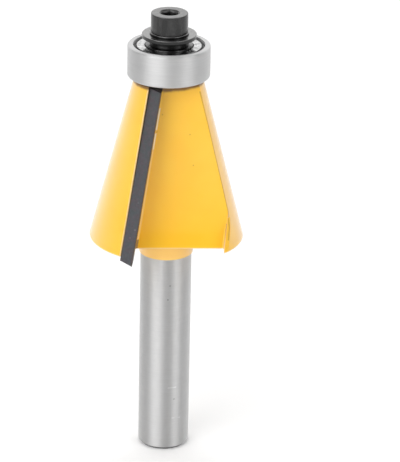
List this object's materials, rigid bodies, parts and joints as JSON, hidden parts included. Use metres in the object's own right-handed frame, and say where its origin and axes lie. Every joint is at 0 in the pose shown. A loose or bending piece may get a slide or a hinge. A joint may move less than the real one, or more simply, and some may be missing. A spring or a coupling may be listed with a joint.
{
  "type": "bevel router bit with guide bearing",
  "caption": "Conical bevel router bit: brazed carbide tips on a painted steel body, a straight round shank below and a shielded guide bearing held by a socket head screw above.",
  "frame": {"origin": "centre of the flat end of the shank, which the bit stands on", "axes": "+Z along the axis of the bit towards the guide bearing; -Y towards the front, where carbide_tip_1 is"},
  "size_m": [0.0238, 0.0232, 0.0719],
  "materials": {
    "yellow_paint": "gloss",
    "carbide": "ground",
    "bearing_steel": "ground",
    "shield_steel": "bright",
    "ball_steel": "polished",
    "cage_steel": "pressed",
    "black_oxide": "satin"
  },
  "bodies": {
    "cutter": {"cutter_body": "yellow_paint", "carbide_tip_1": "carbide", "carbide_tip_2": "carbide", "bearing_inner_ring": "bearing_steel", "bearing_spacer": "black_oxide", "cover_washer": "black_oxide", "head_washer": "black_oxide", "cap_screw": "black_oxide"},
    "outer_race": {"bearing_outer_ring": "bearing_steel", "shield_upper": "shield_steel", "shield_lower": "shield_steel"},
    "cage": {"cage_upper": "cage_steel", "cage_lower": "cage_steel"},
    "ball_1": {"bearing_ball_1": "ball_steel"},
    "ball_2": {"bearing_ball_2": "ball_steel"},
    "ball_3": {"bearing_ball_3": "ball_steel"},
    "ball_4": {"bearing_ball_4": "ball_steel"},
    "ball_5": {"bearing_ball_5": "ball_steel"},
    "ball_6": {"bearing_ball_6": "ball_steel"},
    "ball_7": {"bearing_ball_7": "ball_steel"}
  },
  "joints": [
    {"name": "guide_spin", "type": "hinge", "parent": "cutter", "child": "outer_race", "pos_m": [0, 0, 0.06439], "axis": [0, 0, 1], "continuous": true},
    {"name": "cage_orbit", "type": "hinge", "parent": "cutter", "child": "cage", "pos_m": [0, 0, 0.06439], "axis": [0, 0, 1], "continuous": true},
    {"name": "ball_roll_1", "type": "hinge", "parent": "cage", "child": "ball_1", "pos_m": [0.00437, 0, 0.06439], "axis": [0, 0, 1], "continuous": true},
    {"name": "ball_roll_2", "type": "hinge", "parent": "cage", "child": "ball_2", "pos_m": [0.00272, 0.00341, 0.06439], "axis": [0, 0, 1], "continuous": true},
    {"name": "ball_roll_3", "type": "hinge", "parent": "cage", "child": "ball_3", "pos_m": [-0.00097, 0.00426, 0.06439], "axis": [0, 0, 1], "continuous": true},
    {"name": "ball_roll_4", "type": "hinge", "parent": "cage", "child": "ball_4", "pos_m": [-0.00393, 0.00189, 0.06439], "axis": [0, 0, 1], "continuous": true},
    {"name": "ball_roll_5", "type": "hinge", "parent": "cage", "child": "ball_5", "pos_m": [-0.00393, -0.00189, 0.06439], "axis": [0, 0, 1], "continuous": true},
    {"name": "ball_roll_6", "type": "hinge", "parent": "cage", "child": "ball_6", "pos_m": [-0.00097, -0.00426, 0.06439], "axis": [0, 0, 1], "continuous": true},
    {"name": "ball_roll_7", "type": "hinge", "parent": "cage", "child": "ball_7", "pos_m": [0.00272, -0.00341, 0.06439], "axis": [0, 0, 1], "continuous": true}
  ],
  "couplings": [
    {"joint": "cage_orbit", "follows": "guide_spin", "ratio": 0.63635},
    {"joint": "ball_roll_1", "follows": "guide_spin", "ratio": 1.6971},
    {"joint": "ball_roll_2", "follows": "guide_spin", "ratio": 1.6971},
    {"joint": "ball_roll_3", "follows": "guide_spin", "ratio": 1.6971},
    {"joint": "ball_roll_4", "follows": "guide_spin", "ratio": 1.6971},
    {"joint": "ball_roll_5", "follows": "guide_spin", "ratio": 1.6971},
    {"joint": "ball_roll_6", "follows": "guide_spin", "ratio": 1.6971},
    {"joint": "ball_roll_7", "follows": "guide_spin", "ratio": 1.6971}
  ]
}
